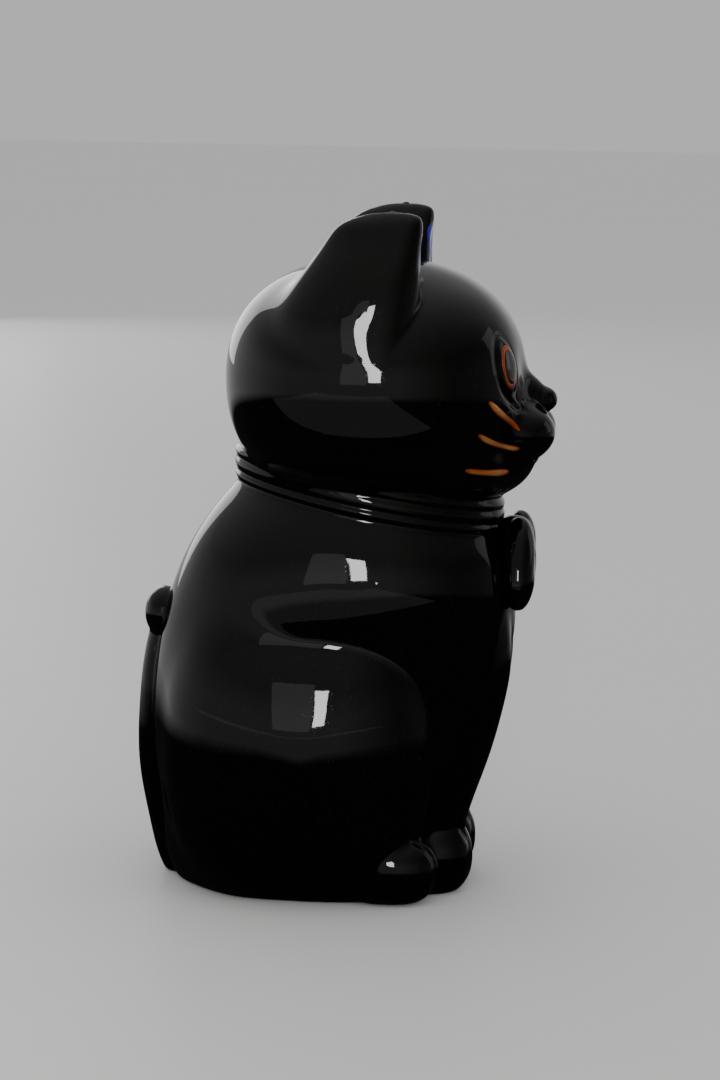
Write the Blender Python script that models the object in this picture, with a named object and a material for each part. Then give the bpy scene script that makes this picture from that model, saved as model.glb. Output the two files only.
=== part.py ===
"""Seated ceramic cat figurine: a hollow slip-cast body and head, with castings and enamels joined on.

Metres, +Z up. The cat faces -Y and its right side is -X. The origin is on the surface that it stands on,
under the middle of its outline. Run with: blender --background --python part.py
"""

import math

import bmesh
import bpy
import numpy as np
from mathutils import Vector
from mathutils.bvhtree import BVHTree

# Driving dimensions
EAR_TIP_Z = 0.1776
WALL = 0.004
GAP = 0.0003
NECK_Z = 0.10555
NECK_SLOPE = 0.182
NECK_FRONT = -0.0395
NECK_BACK = 0.0269
NECK_WIDE = -0.006
NECK_HALF_WIDTH = 0.029
TILT_FROM_Z = 0.062
HEAD_LEVEL_Z = 0.145
COLLAR_HEIGHT = 0.0068
COLLAR_PROUD = 0.0022
COLLAR_SUNK = 0.0010
EAR_ROUNDNESS = 0.83
VENT_DIAMETER = 0.0036
FOOT_THICKNESS = 0.004
VENT_Y = 0.008
EYE_X = 0.0200
EYE_Z = 0.1390
EYE_HALF_WIDTH = 0.0058
EYE_HALF_HEIGHT = 0.0066
IRIS_BULGE = 0.0017
PUPIL_BULGE = 0.0028
PUPIL_SHARE = 0.62
LEG_X = 0.0108
WHISKER_HALF_WIDTH = 0.0010
ENAMEL_THICKNESS = 0.0005

# Rounded forms of the cat's left side, or of its middle where x is 0: centre and half sizes
HAUNCH = ((0.0215, 0.0105, 0.0380), (0.0205, 0.0365, 0.0368))
FOREPAW = ((LEG_X, -0.0253, 0.0094), (0.0094, 0.0103, 0.0106))
HIND_FOOT = ((0.0250, -0.0135, 0.0088), (0.0088, 0.0132, 0.0096))
EAR_SCOOP = ((0.0305, -0.0215, 0.1625), (0.0062, 0.0040, 0.0115))
BOW_KNOT = ((0.0, -0.0440, 0.0925), (0.0046, 0.0050, 0.0052))
BOW_LOOP = ((0.0088, -0.0460, 0.0868), (0.0074, 0.0044, 0.0122))
NOSE = ((0.0, -0.0510, 0.1290), (0.0046, 0.0036, 0.0030))
MOUTH = ((0.0, -0.0498, 0.1135), (0.0040, 0.0022, 0.0011))
HAUNCH_SQUARENESS = 0.86
FOOT_SQUARENESS = 0.9
LOOP_LEAN = math.radians(24)

SIDES = (("left", 1), ("right", -1))
CLEAR_OF_ALL = 0.1

# Cross-sections: height at the middle, front y, y of the widest place, back y, half width, squareness
TORSO_SECTIONS = (
    (0.0000, -0.0230, 0.004, 0.0425, 0.0285, 2.3),
    (0.0040, -0.0255, 0.004, 0.0457, 0.0315, 2.3),
    (0.0150, -0.0275, 0.004, 0.0474, 0.0345, 2.3),
    (0.0300, -0.0310, 0.004, 0.0497, 0.0355, 2.3),
    (0.0460, -0.0370, 0.004, 0.0500, 0.0355, 2.3),
    (0.0620, -0.0440, 0.004, 0.0488, 0.0350, 2.3),
    (0.0750, -0.0452, 0.002, 0.0455, 0.0342, 2.3),
    (0.0870, -0.0450, -0.002, 0.0394, 0.0362, 2.3),
    (0.0970, -0.0432, -0.005, 0.0322, 0.0335, 2.2),
    (0.1023, -0.0404, -0.006, 0.0276, 0.0300, 2.1),
    (NECK_Z - GAP / 2, NECK_FRONT, NECK_WIDE, NECK_BACK, NECK_HALF_WIDTH, 2.0),
)
HEAD_SECTIONS = (
    (NECK_Z + GAP / 2, NECK_FRONT, NECK_WIDE, NECK_BACK, NECK_HALF_WIDTH, 2.0),
    (0.1090, -0.0408, -0.006, 0.0272, 0.0310, 2.0),
    (0.1120, -0.0430, -0.006, 0.0284, 0.0365, 2.1),
    (0.1170, -0.0446, -0.006, 0.0300, 0.0415, 2.2),
    (0.1250, -0.0454, -0.006, 0.0313, 0.0443, 2.2),
    (0.1350, -0.0456, -0.006, 0.0314, 0.0445, 2.2),
    (HEAD_LEVEL_Z, -0.0444, -0.006, 0.0296, 0.0424, 2.2),
    (0.1530, -0.0405, -0.006, 0.0258, 0.0370, 2.2),
    (0.1590, -0.0330, -0.007, 0.0170, 0.0290, 2.2),
    (0.1630, -0.0220, -0.008, 0.0060, 0.0170, 2.1),
    (0.1645, -0.0130, -0.008, -0.0030, 0.0060, 2.0),
)
# Bulges that the face is built up from: centre and half sizes
FACE_FORMS = (
    ((-0.0070, -0.0440, 0.1198), (0.0110, 0.0098, 0.0088)),
    ((0.0070, -0.0440, 0.1198), (0.0110, 0.0098, 0.0088)),
    ((0.0000, -0.0415, 0.1110), (0.0105, 0.0086, 0.0064)),
    ((0.0000, -0.0420, 0.1290), (0.0070, 0.0098, 0.0100)),
)
# Ear cross-sections: height, inner x, outer x, front y, back y
EAR_SECTIONS = (
    (0.1450, 0.0120, 0.0400, -0.0175, 0.0140),
    (0.1560, 0.0135, 0.0405, -0.0195, 0.0128),
    (0.1640, 0.0180, 0.0385, -0.0205, 0.0080),
    (0.1700, 0.0220, 0.0362, -0.0205, 0.0038),
    (0.1745, 0.0255, 0.0342, -0.0200, 0.0004),
    (0.1768, 0.0278, 0.0322, -0.0190, -0.0060),
    (EAR_TIP_Z, 0.0288, 0.0312, -0.0170, -0.0120),
)
# Foreleg cross-sections: height, front y, half depth, half width
FORELEG_SECTIONS = (
    (0.0640, -0.0440, 0.0085, 0.0070),
    (0.0490, -0.0426, 0.0095, 0.0085),
    (0.0350, -0.0390, 0.0095, 0.0085),
    (0.0215, -0.0346, 0.0095, 0.0085),
    (0.0100, -0.0320, 0.0090, 0.0080),
)
# The tail's middle line up the back, from the floor: y, z, half width, half thickness
TAIL_LINE = (
    (0.0425, 0.0030, 0.0042, 0.0032),
    (0.0468, 0.0130, 0.0056, 0.0041),
    (0.0498, 0.0290, 0.0058, 0.0042),
    (0.0499, 0.0460, 0.0058, 0.0042),
    (0.0484, 0.0600, 0.0060, 0.0044),
    (0.0466, 0.0690, 0.0068, 0.0056),
    (0.0450, 0.0745, 0.0050, 0.0036),
)
# Whisker strokes: start and end as y and z on the right cheek, and how far the middle sags
WHISKERS = (
    ((-0.0378, 0.1309), (-0.0456, 0.1237), 0.0006),
    ((-0.0350, 0.1228), (-0.0450, 0.1188), 0.0008),
    ((-0.0325, 0.1134), (-0.0425, 0.1123), 0.0005),
)

# Finishes: colour, roughness, metallic
BLACK_GLAZE = ((0.004, 0.004, 0.005), 0.06, 0.0)
RED_CLAY = ((0.36, 0.15, 0.09), 0.85, 0.0)
GOLD_LUSTRE = ((0.83, 0.52, 0.16), 0.25, 1.0)
COBALT_ENAMEL = ((0.02, 0.02, 0.22), 0.15, 0.0)
PINK_ENAMEL = ((0.75, 0.42, 0.38), 0.25, 0.0)
PUPIL_ENAMEL = ((0.006, 0.006, 0.007), 0.08, 0.0)


def clear_scene():
    for obj in list(bpy.data.objects):
        bpy.data.objects.remove(obj)


def finish_material(name, finish):
    colour, roughness, metallic = finish
    material = bpy.data.materials.new(name)
    material.use_nodes = True
    shader = material.node_tree.nodes["Principled BSDF"]
    shader.inputs["Base Color"].default_value = (*colour, 1.0)
    shader.inputs["Roughness"].default_value = roughness
    shader.inputs["Metallic"].default_value = metallic
    return material


def new_object(name, bm, grow=0.0):
    """A scene object from the bmesh, its surface moved outwards by grow."""
    bmesh.ops.recalc_face_normals(bm, faces=bm.faces)
    bm.normal_update()
    if grow:
        moved = [vertex.co + vertex.normal * grow for vertex in bm.verts]
        for vertex, place in zip(bm.verts, moved):
            vertex.co = place
    mesh = bpy.data.meshes.new(name)
    bm.to_mesh(mesh)
    bm.free()
    mesh.shade_smooth()
    obj = bpy.data.objects.new(name, mesh)
    bpy.context.scene.collection.objects.link(obj)
    return obj


def dress(obj, finish):
    """Makes the object a sub-part, with a material of its own."""
    obj.data.materials.append(finish_material(obj.name, finish))
    return obj


def as_tool(obj):
    obj.hide_render = True
    obj.display_type = "WIRE"
    return obj


def combine(obj, tool, operation):
    modifier = obj.modifiers.new(f"{operation.lower()} {tool.name}", "BOOLEAN")
    modifier.operation = operation
    modifier.object = as_tool(tool)
    return obj


def cut(obj, *tools):
    for tool in tools:
        combine(obj, tool, "DIFFERENCE")
    return obj


def smooth_rows(rows, steps):
    """Rows read from the Catmull-Rom curve through the given rows, with this many steps between two."""
    rows = np.array(rows)
    padded = np.vstack([2 * rows[0] - rows[1], rows, 2 * rows[-1] - rows[-2]])
    found = []
    for i in range(1, len(rows)):
        a, b, c, d = padded[i - 1 : i + 3]
        for step in range(steps):
            t = step / steps
            bend = (2 * a - 5 * b + 4 * c - d) * t**2 + (3 * b - a - 3 * c + d) * t**3
            found.append(0.5 * (2 * b + (c - a) * t + bend))
    found.append(rows[-1])
    return np.array(found)


def signed_power(value, power):
    return math.copysign(abs(value) ** power, value)


def turns(count):
    """Angles that go once round."""
    return [2 * math.pi * i / count for i in range(count)]


def on_side(form, side):
    """A form's centre and half sizes, with the centre on one side: 1 is the cat's left and -1 its right."""
    (x, y, z), half_sizes = form
    return (side * x, y, z), half_sizes


def skin(rings):
    """A closed bmesh over rings of points, with a flat cap at each end."""
    bm = bmesh.new()
    rows = [[bm.verts.new(point) for point in ring] for ring in rings]
    for lower, upper in zip(rows, rows[1:]):
        for i in range(len(lower)):
            j = (i + 1) % len(lower)
            bm.faces.new((lower[i], lower[j], upper[j], upper[i]))
    bm.faces.new(rows[0])
    bm.faces.new(rows[-1])
    return bm


def tilt_at(height):
    """Slope of the section at a height: level at base and brow, and the collar's slope at the neck."""
    if height <= NECK_Z:
        share = (height - TILT_FROM_Z) / (NECK_Z - TILT_FROM_Z)
    else:
        share = (HEAD_LEVEL_Z - height) / (HEAD_LEVEL_Z - NECK_Z)
    return NECK_SLOPE * min(max(share, 0.0), 1.0)


def section_ring(section, segments):
    height, front, wide, back, half_width, squareness = section
    slope = tilt_at(height)
    ring = []
    for turn in turns(segments):
        reach = (back - wide) if math.sin(turn) > 0 else (wide - front)
        x = half_width * signed_power(math.cos(turn), 2 / squareness)
        y = wide + reach * signed_power(math.sin(turn), 2 / squareness)
        ring.append((x, y, height + slope * y))
    return ring


def section_form(name, sections, grow=0.0, segments=32, steps=2):
    rings = [section_ring(row, segments) for row in smooth_rows(sections, steps)]
    return new_object(name, skin(rings), grow)


def egg(name, centre, half_sizes, grow=0.0, power=1.0, segments=16, rings=9, lean=0.0, floor=None):
    """An ellipsoid, squarer where power is under 1, leaning about Y, and flat where it meets the floor."""
    bm = bmesh.new()
    bmesh.ops.create_uvsphere(bm, u_segments=segments, v_segments=rings, radius=1.0)
    upright, sideways = math.cos(lean), math.sin(lean)
    for vertex in bm.verts:
        x, y, z = (signed_power(value, power) * half for value, half in zip(vertex.co, half_sizes))
        x, z = x * upright + z * sideways, z * upright - x * sideways
        vertex.co = Vector(centre) + Vector((x, y, z))
    obj = new_object(name, bm, grow)
    if floor is not None:
        for vertex in obj.data.vertices:
            vertex.co.z = max(vertex.co.z, floor)
    return obj


def torso_form(name, grow=0.0):
    return section_form(name, TORSO_SECTIONS, grow)


def head_form(name, grow=0.0):
    head = section_form(name, HEAD_SECTIONS, grow)
    for i, (centre, half_sizes) in enumerate(FACE_FORMS):
        combine(head, egg(f"{name}_bulge_{i}", centre, half_sizes, grow, segments=20, rings=10), "UNION")
    return head


def cavity(name, sections, past):
    """What is hollow inside a casting, running past its neck so that it opens there."""
    hollow = section_form(name, sections, -WALL, segments=24, steps=1)
    neck = Vector((0.0, 0.0, past))
    for vertex in hollow.data.vertices:
        if abs(vertex.co.z - NECK_Z - NECK_SLOPE * vertex.co.y) < 1.6 * WALL:
            vertex.co += neck
    return hollow


def rod(name, radius, bottom, top, y):
    bm = bmesh.new()
    length = top - bottom
    bmesh.ops.create_cone(bm, cap_ends=True, segments=24, radius1=radius, radius2=radius, depth=length)
    bmesh.ops.translate(bm, vec=(0, y, (top + bottom) / 2), verts=bm.verts)
    return new_object(name, bm)


def add_torso():
    """The body casting: a barrel open at the neck, and at the foot where the foot plate closes it."""
    torso = torso_form("torso_shell")
    hollow = cavity("torso_hollow", TORSO_SECTIONS, 2 * WALL)
    foot_way = section_form("foot_way", foot_outline(-0.005, 2.5 * WALL), steps=1)
    return dress(cut(torso, hollow, foot_way), BLACK_GLAZE)


def foot_outline(bottom, top, inset=WALL):
    """Sections of an upright plug that follows the base, this far in from its edge."""
    _, front, wide, back, half_width, squareness = TORSO_SECTIONS[0]
    section = front + inset, wide, back - inset, half_width - inset, squareness
    return (bottom, *section), (top, *section)


def add_foot_plate():
    plate = section_form("foot_plate", foot_outline(0.0, FOOT_THICKNESS, WALL + GAP), steps=1)
    vent = rod("vent_way", VENT_DIAMETER / 2, -WALL, 2 * FOOT_THICKNESS, VENT_Y)
    return dress(cut(plate, vent), RED_CLAY)


def add_head():
    head = head_form("head_shell")
    return dress(cut(head, cavity("head_hollow", HEAD_SECTIONS, -2 * WALL)), BLACK_GLAZE)


def ear_form(name, side):
    rings = []
    for height, inner, outer, front, back in smooth_rows(EAR_SECTIONS, 2):
        middle, half = (inner + outer) / 2, (outer - inner) / 2
        wide = front + 0.35 * (back - front)
        ring = []
        for turn in turns(18):
            reach = (back - wide) if math.sin(turn) > 0 else (wide - front)
            x = middle + half * signed_power(math.cos(turn), EAR_ROUNDNESS)
            ring.append((side * x, wide + reach * signed_power(math.sin(turn), EAR_ROUNDNESS), height))
        rings.append(ring)
    return new_object(name, skin(rings))


def add_ear(label, side, head_tool):
    """An ear with a shallow scoop in its front face, and the enamel that lines the scoop."""
    place, size = on_side(EAR_SCOOP, side)
    scoop = egg(f"ear_scoop_{label}", place, size, segments=14, rings=7)
    dress(cut(ear_form(f"ear_{label}", side), head_tool, scoop), BLACK_GLAZE)
    enamel = egg(f"inner_ear_{label}", place, size, -GAP, segments=14, rings=7)
    room = egg(f"ear_room_{label}", place, size, -GAP - ENAMEL_THICKNESS, segments=14, rings=7)
    for vertex in room.data.vertices:
        vertex.co.y -= ENAMEL_THICKNESS
    dress(cut(enamel, head_tool, room), COBALT_ENAMEL)


def add_haunch(label, side, torso_tool):
    """The thigh casting. Returns the tool that keeps other pieces clear of it."""
    place, size = on_side(HAUNCH, side)
    fine = {"power": HAUNCH_SQUARENESS, "segments": 24, "rings": 14}
    dress(cut(egg(f"haunch_{label}", place, size, floor=0.0, **fine), torso_tool), BLACK_GLAZE)
    return egg(f"haunch_tool_{label}", place, size, GAP, **fine)


def add_feet(label, side, torso_tool, haunch_tool):
    place, size = on_side(FOREPAW, side)
    paw = egg(f"forepaw_{label}", place, size, power=FOOT_SQUARENESS, floor=0.0)
    paw_tool = egg(f"forepaw_tool_{label}", place, size, GAP, FOOT_SQUARENESS)
    dress(cut(paw, torso_tool), BLACK_GLAZE)

    rings = []
    for height, front, half_depth, half_width in smooth_rows(FORELEG_SECTIONS, 2):
        middle = Vector((side * LEG_X, front + half_depth, height))
        rings.append([
            middle + Vector((half_width * math.cos(turn), half_depth * math.sin(turn), 0.0))
            for turn in turns(20)
        ])
    leg = new_object(f"foreleg_{label}", skin(rings))
    dress(cut(leg, torso_tool, paw_tool), BLACK_GLAZE)

    place, size = on_side(HIND_FOOT, side)
    foot = egg(f"hind_foot_{label}", place, size, power=FOOT_SQUARENESS, floor=0.0)
    dress(cut(foot, torso_tool, haunch_tool, paw_tool), BLACK_GLAZE)


def add_tail(torso_tool):
    """A flattened bar up the middle of the back, thickening to the curled knob at its tip."""
    rows = smooth_rows(TAIL_LINE, 2)
    rings = []
    for i, (y, z, half_width, half_thick) in enumerate(rows):
        before, after = rows[max(i - 1, 0)], rows[min(i + 1, len(rows) - 1)]
        along = Vector((0, after[0] - before[0], after[1] - before[1])).normalized()
        outward = Vector((0, along.z, -along.y))
        rings.append([
            Vector((half_width * math.cos(turn), y, z)) + outward * (half_thick * math.sin(turn))
            for turn in turns(14)
        ])
    tail = new_object("tail", skin(rings))
    return dress(cut(tail, torso_tool), BLACK_GLAZE)


def collar_form(name, grow=0.0):
    """A band with rounded edges round the neck, in the neck's sloping plane."""
    bm = bmesh.new()
    rows = []
    for around in turns(36):
        reach = NECK_BACK - NECK_WIDE if math.sin(around) > 0 else NECK_WIDE - NECK_FRONT
        outward = Vector((math.cos(around), math.sin(around), 0.0))
        neck = Vector((NECK_HALF_WIDTH * math.cos(around), NECK_WIDE + reach * math.sin(around), NECK_Z))
        row = []
        for turn in turns(8):
            out = (COLLAR_PROUD - COLLAR_SUNK) / 2 + (COLLAR_PROUD + COLLAR_SUNK) / 2 * math.cos(turn)
            point = neck + outward * out
            point.z += COLLAR_HEIGHT / 2 * signed_power(math.sin(turn), 0.7) + NECK_SLOPE * point.y
            row.append(bm.verts.new(point))
        rows.append(row)
    for row, following in zip(rows, rows[1:] + rows[:1]):
        for k in range(len(row)):
            j = (k + 1) % len(row)
            bm.faces.new((row[k], row[j], following[j], following[k]))
    return new_object(name, bm, grow)


def add_bow(torso_tool, head_tool, collar_tool):
    """The bow under the chin: a knot in front of the collar, and two drooping loops."""
    knot = egg("bow_knot", *BOW_KNOT)
    dress(cut(knot, torso_tool, head_tool, collar_tool), BLACK_GLAZE)
    knot_tool = egg("bow_knot_tool", *BOW_KNOT, GAP)
    for label, side in SIDES:
        loop = egg(f"bow_loop_{label}", *on_side(BOW_LOOP, side), segments=18, lean=-side * LOOP_LEAN)
        dress(cut(loop, torso_tool, head_tool, collar_tool, knot_tool), BLACK_GLAZE)


def tree_of(obj):
    graph = bpy.context.evaluated_depsgraph_get()
    return BVHTree.FromObject(obj, graph)


def add_whisker(name, tree, side, stroke, head_tool):
    """A raised brush stroke that lies on the cheek, tapering to round ends."""
    (y0, z0), (y1, z1), sag = stroke
    shares = np.linspace(0, 1, 9)
    starts = [
        (y0 + (y1 - y0) * share, z0 + (z1 - z0) * share - 4 * sag * share * (1 - share))
        for share in shares
    ]
    inward = Vector((-side, 0.0, 0.0))
    hits = [tree.ray_cast(Vector((side * CLEAR_OF_ALL, y, z)), inward) for y, z in starts]
    normal = sum((hit[1] for hit in hits), Vector()).normalized()
    across = normal.cross(Vector((0.0, y1 - y0, z1 - z0))).normalized()
    rings = []
    for share, hit in zip(shares, hits):
        width = WHISKER_HALF_WIDTH * math.sqrt(max(1 - (2 * share - 1) ** 4, 0.09))
        middle = hit[0] + normal * (GAP + ENAMEL_THICKNESS / 2)
        rings.append([
            middle + across * (width * math.cos(turn)) + normal * (ENAMEL_THICKNESS * math.sin(turn))
            for turn in turns(8)
        ])
    return dress(cut(new_object(name, skin(rings)), head_tool), GOLD_LUSTRE)


def add_eye(label, side, tree, head_tool):
    """Gold iris enamel on the head, and the black pupil on the iris."""
    start = Vector((side * EYE_X, -CLEAR_OF_ALL, EYE_Z))
    place, normal, _, _ = tree.ray_cast(start, Vector((0.0, 1.0, 0.0)))
    facing = normal.to_track_quat("Y", "Z")

    def disc(name, scale, bulge, grow=0.0):
        obj = egg(name, (0, 0, 0), (EYE_HALF_WIDTH * scale, bulge, EYE_HALF_HEIGHT * scale), grow)
        for vertex in obj.data.vertices:
            vertex.co = place + facing @ vertex.co
        return obj

    dress(cut(disc(f"eye_iris_{label}", 1.0, IRIS_BULGE), head_tool), GOLD_LUSTRE)
    iris_tool = disc(f"iris_tool_{label}", 1.0, IRIS_BULGE, GAP)
    dress(cut(disc(f"eye_pupil_{label}", PUPIL_SHARE, PUPIL_BULGE), head_tool, iris_tool), PUPIL_ENAMEL)


def add_nose(head_tool):
    dress(cut(egg("nose_pad", *NOSE), head_tool), BLACK_GLAZE)


def add_mouth(head_tool):
    dress(cut(egg("mouth_stroke", *MOUTH), head_tool), PINK_ENAMEL)


def main():
    clear_scene()
    torso_tool = torso_form("torso_tool", GAP)
    head_tool = head_form("head_tool", GAP)
    face = head_form("face_guide")
    add_torso()
    add_foot_plate()
    add_head()
    for label, side in SIDES:
        add_ear(label, side, head_tool)
        haunch_tool = add_haunch(label, side, torso_tool)
        add_feet(label, side, torso_tool, haunch_tool)
    add_tail(torso_tool)
    dress(cut(collar_form("collar_band"), torso_tool, head_tool), BLACK_GLAZE)
    add_bow(torso_tool, head_tool, collar_form("collar_tool", GAP))
    add_nose(head_tool)
    add_mouth(head_tool)
    tree = tree_of(as_tool(face))
    for label, side in SIDES:
        add_eye(label, side, tree, head_tool)
        for i, stroke in enumerate(WHISKERS, 1):
            add_whisker(f"whisker_{label}_{i}", tree, side, stroke, head_tool)


main()
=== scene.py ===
"""Seated black kitten in glazed ceramic: its castings, enamels, gold strokes and a plain studio.

Metres, +Z up. The kitten faces -Y, and its right side is -X.
"""

import math

import bmesh
import bpy
import numpy as np
from mathutils import Matrix, Vector


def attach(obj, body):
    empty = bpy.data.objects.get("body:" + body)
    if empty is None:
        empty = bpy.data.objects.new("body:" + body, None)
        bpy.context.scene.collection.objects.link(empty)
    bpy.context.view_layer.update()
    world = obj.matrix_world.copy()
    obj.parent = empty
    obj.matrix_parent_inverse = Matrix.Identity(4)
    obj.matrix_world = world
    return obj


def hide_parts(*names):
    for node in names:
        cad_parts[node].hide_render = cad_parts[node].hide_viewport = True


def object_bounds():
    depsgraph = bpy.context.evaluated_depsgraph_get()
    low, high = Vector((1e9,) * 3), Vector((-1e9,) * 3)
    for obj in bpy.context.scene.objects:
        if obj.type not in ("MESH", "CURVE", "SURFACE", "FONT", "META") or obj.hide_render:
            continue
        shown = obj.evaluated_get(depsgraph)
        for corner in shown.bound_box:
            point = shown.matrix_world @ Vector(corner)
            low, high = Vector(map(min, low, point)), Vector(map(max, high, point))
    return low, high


bl_info = {
    "name": "Glazed ceramic kitten",
    "version": (1, 0, 0),
    "blender": (4, 5, 0),
    "location": "3D View > Sidebar > Kitten",
    "description": "Makes a glossy slip-cast kitten with gold whiskers, and its studio",
    "category": "Add Mesh",
}

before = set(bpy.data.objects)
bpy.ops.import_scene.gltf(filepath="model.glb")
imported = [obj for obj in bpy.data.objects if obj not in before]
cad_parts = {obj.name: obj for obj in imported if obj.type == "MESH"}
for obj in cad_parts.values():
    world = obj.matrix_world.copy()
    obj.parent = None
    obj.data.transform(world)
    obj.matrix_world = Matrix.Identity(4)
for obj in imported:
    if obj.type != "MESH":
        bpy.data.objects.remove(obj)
cad_low, cad_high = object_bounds()

SIDES = (("left", 1), ("right", -1))
MM = 0.001
# Beyond this distance from its surface a form only says that it is far away
FAR = 0.012

# Heights and slopes that the castings share
EAR_TIP = cad_high.z
NECK_Z = 0.10555
NECK_SLOPE = 0.182
TILT_FROM = 0.062
NECK_FRONT, NECK_BACK, NECK_HALF_WIDTH = -0.0395, 0.0269, 0.029
SEAM_Z = NECK_Z + 0.0052
NECK_TOP = 0.118
FORELEG_X, HIND_FOOT_X = 0.0108, 0.0250

# Cross-sections of the body: height at the middle, front y, y of the widest place, back y,
# half width, squareness
TORSO = (
    (-0.0060, -0.0200, 0.004, 0.0395, 0.0265, 2.3),
    (0.0010, -0.0245, 0.004, 0.0440, 0.0302, 2.3),
    (0.0060, -0.0262, 0.004, 0.0462, 0.0325, 2.3),
    (0.0150, -0.0275, 0.004, 0.0476, 0.0345, 2.3),
    (0.0300, -0.0310, 0.004, 0.0497, 0.0355, 2.3),
    (0.0460, -0.0370, 0.004, 0.0502, 0.0342, 2.3),
    (0.0620, -0.0440, 0.004, 0.0488, 0.0339, 2.3),
    (0.0750, -0.0452, 0.002, 0.0455, 0.0354, 2.3),
    (0.0870, -0.0450, -0.002, 0.0394, 0.0352, 2.3),
    (0.0960, -0.0434, -0.005, 0.0325, 0.0327, 2.2),
    (0.1020, -0.0408, -0.006, 0.0280, 0.0300, 2.1),
    (0.1090, -0.0392, -0.006, 0.0262, 0.0286, 2.0),
    (0.1180, -0.0375, -0.006, 0.0250, 0.0270, 2.0),
)
# Foreleg: height, front y, half depth, half width
FORELEG = (
    (0.0000, -0.0315, 0.0085, 0.0078),
    (0.0100, -0.0322, 0.0088, 0.0080),
    (0.0215, -0.0346, 0.0095, 0.0084),
    (0.0350, -0.0391, 0.0098, 0.0086),
    (0.0490, -0.0428, 0.0098, 0.0086),
    (0.0620, -0.0446, 0.0092, 0.0078),
    (0.0740, -0.0430, 0.0080, 0.0064),
    (0.0860, -0.0390, 0.0060, 0.0045),
)
# Tail: height, middle y, half width, half thickness
TAIL = (
    (-0.0030, 0.0418, 0.0040, 0.0034),
    (0.0030, 0.0446, 0.0048, 0.0036),
    (0.0130, 0.0472, 0.0056, 0.0038),
    (0.0290, 0.0500, 0.0058, 0.0040),
    (0.0460, 0.0501, 0.0058, 0.0040),
    (0.0600, 0.0487, 0.0058, 0.0040),
    (0.0700, 0.0468, 0.0056, 0.0036),
)
# Ear: depth under the tip, inner x, outer x, front y, back y
EAR = (
    (0.0000, 0.0298, 0.0304, -0.0140, -0.0115),
    (0.0008, 0.0278, 0.0322, -0.0190, -0.0055),
    (0.0031, 0.0256, 0.0343, -0.0203, 0.0002),
    (0.0076, 0.0222, 0.0364, -0.0207, 0.0040),
    (0.0136, 0.0182, 0.0393, -0.0207, 0.0082),
    (0.0216, 0.0140, 0.0419, -0.0204, 0.0126),
    (0.0286, 0.0130, 0.0431, -0.0198, 0.0138),
    (0.0346, 0.0150, 0.0436, -0.0188, 0.0126),
    (0.0400, 0.0180, 0.0429, -0.0168, 0.0100),
    (0.0460, 0.0200, 0.0396, -0.0130, 0.0050),
    (0.0530, 0.0220, 0.0330, -0.0080, 0.0000),
)
# Middle of the left eye, as x and z, and the line pressed round it, in millimetres
EYE_X, EYE_Z = 0.0216, 0.1391
EYE_OUTLINE = (
    (22.5, 147.0), (27.2, 141.0), (25.6, 133.6), (20.0, 129.6),
    (13.4, 127.6), (15.8, 134.8), (18.0, 142.8),
)
# Whisker strokes: start and end as y and z on the cheek, and how far the middle sags, in millimetres
WHISKERS = (
    ((-37.8, 131.0), (-45.4, 122.4), 0.3),
    ((-35.3, 122.6), (-45.4, 117.6), 1.1),
    ((-32.2, 113.2), (-42.8, 111.5), 0.2),
)


class KittenSizes(bpy.types.PropertyGroup):
    """Sizes that a maker would change."""

    head_cell: bpy.props.FloatProperty(
        name="Head cell", description="Spacing of the points over the head",
        default=0.0010, unit="LENGTH",
    )
    body_cell: bpy.props.FloatProperty(
        name="Body cell", description="Spacing of the points over the body",
        default=0.0010, unit="LENGTH",
    )
    bow_cell: bpy.props.FloatProperty(
        name="Bow cell", description="Spacing of the points over the bow",
        default=0.0005, unit="LENGTH",
    )
    crease: bpy.props.FloatProperty(
        name="Crease", description="How far the glaze rounds an inner corner",
        default=0.0022, unit="LENGTH",
    )
    whisker_width: bpy.props.FloatProperty(
        name="Whisker width", description="Width of a gold stroke", default=0.0016, unit="LENGTH"
    )
    enamel: bpy.props.FloatProperty(
        name="Enamel", description="Thickness of painted enamel", default=0.00028, unit="LENGTH"
    )


class KittenColours(bpy.types.PropertyGroup):
    """Colours of the glaze, the enamels and the floor."""

    glaze: bpy.props.FloatVectorProperty(
        name="Glaze", description="Black glaze", default=(0.0008, 0.0009, 0.0009), subtype="COLOR"
    )
    gold: bpy.props.FloatVectorProperty(
        name="Gold", description="Gold lustre where it is thick", default=(0.90, 0.47, 0.13),
        subtype="COLOR",
    )
    # Copper of thinly laid gold lustre; its red is partly a painted reflection of a red surface
    copper_and_painted_reflection: bpy.props.FloatVectorProperty(
        name="Copper", description="Gold lustre where it is thin", default=(0.50, 0.075, 0.015),
        subtype="COLOR",
    )
    cobalt: bpy.props.FloatVectorProperty(
        name="Cobalt", description="Blue enamel inside the ears", default=(0.012, 0.010, 0.260),
        subtype="COLOR",
    )
    pink: bpy.props.FloatVectorProperty(
        name="Pink", description="Enamel of the mouth", default=(0.72, 0.38, 0.34), subtype="COLOR"
    )
    clay: bpy.props.FloatVectorProperty(
        name="Clay", description="Bare fired clay of the foot", default=(0.36, 0.15, 0.09),
        subtype="COLOR",
    )
    floor: bpy.props.FloatVectorProperty(
        name="Floor", description="Plain pale floor", default=(0.62, 0.61, 0.60), subtype="COLOR"
    )


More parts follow.
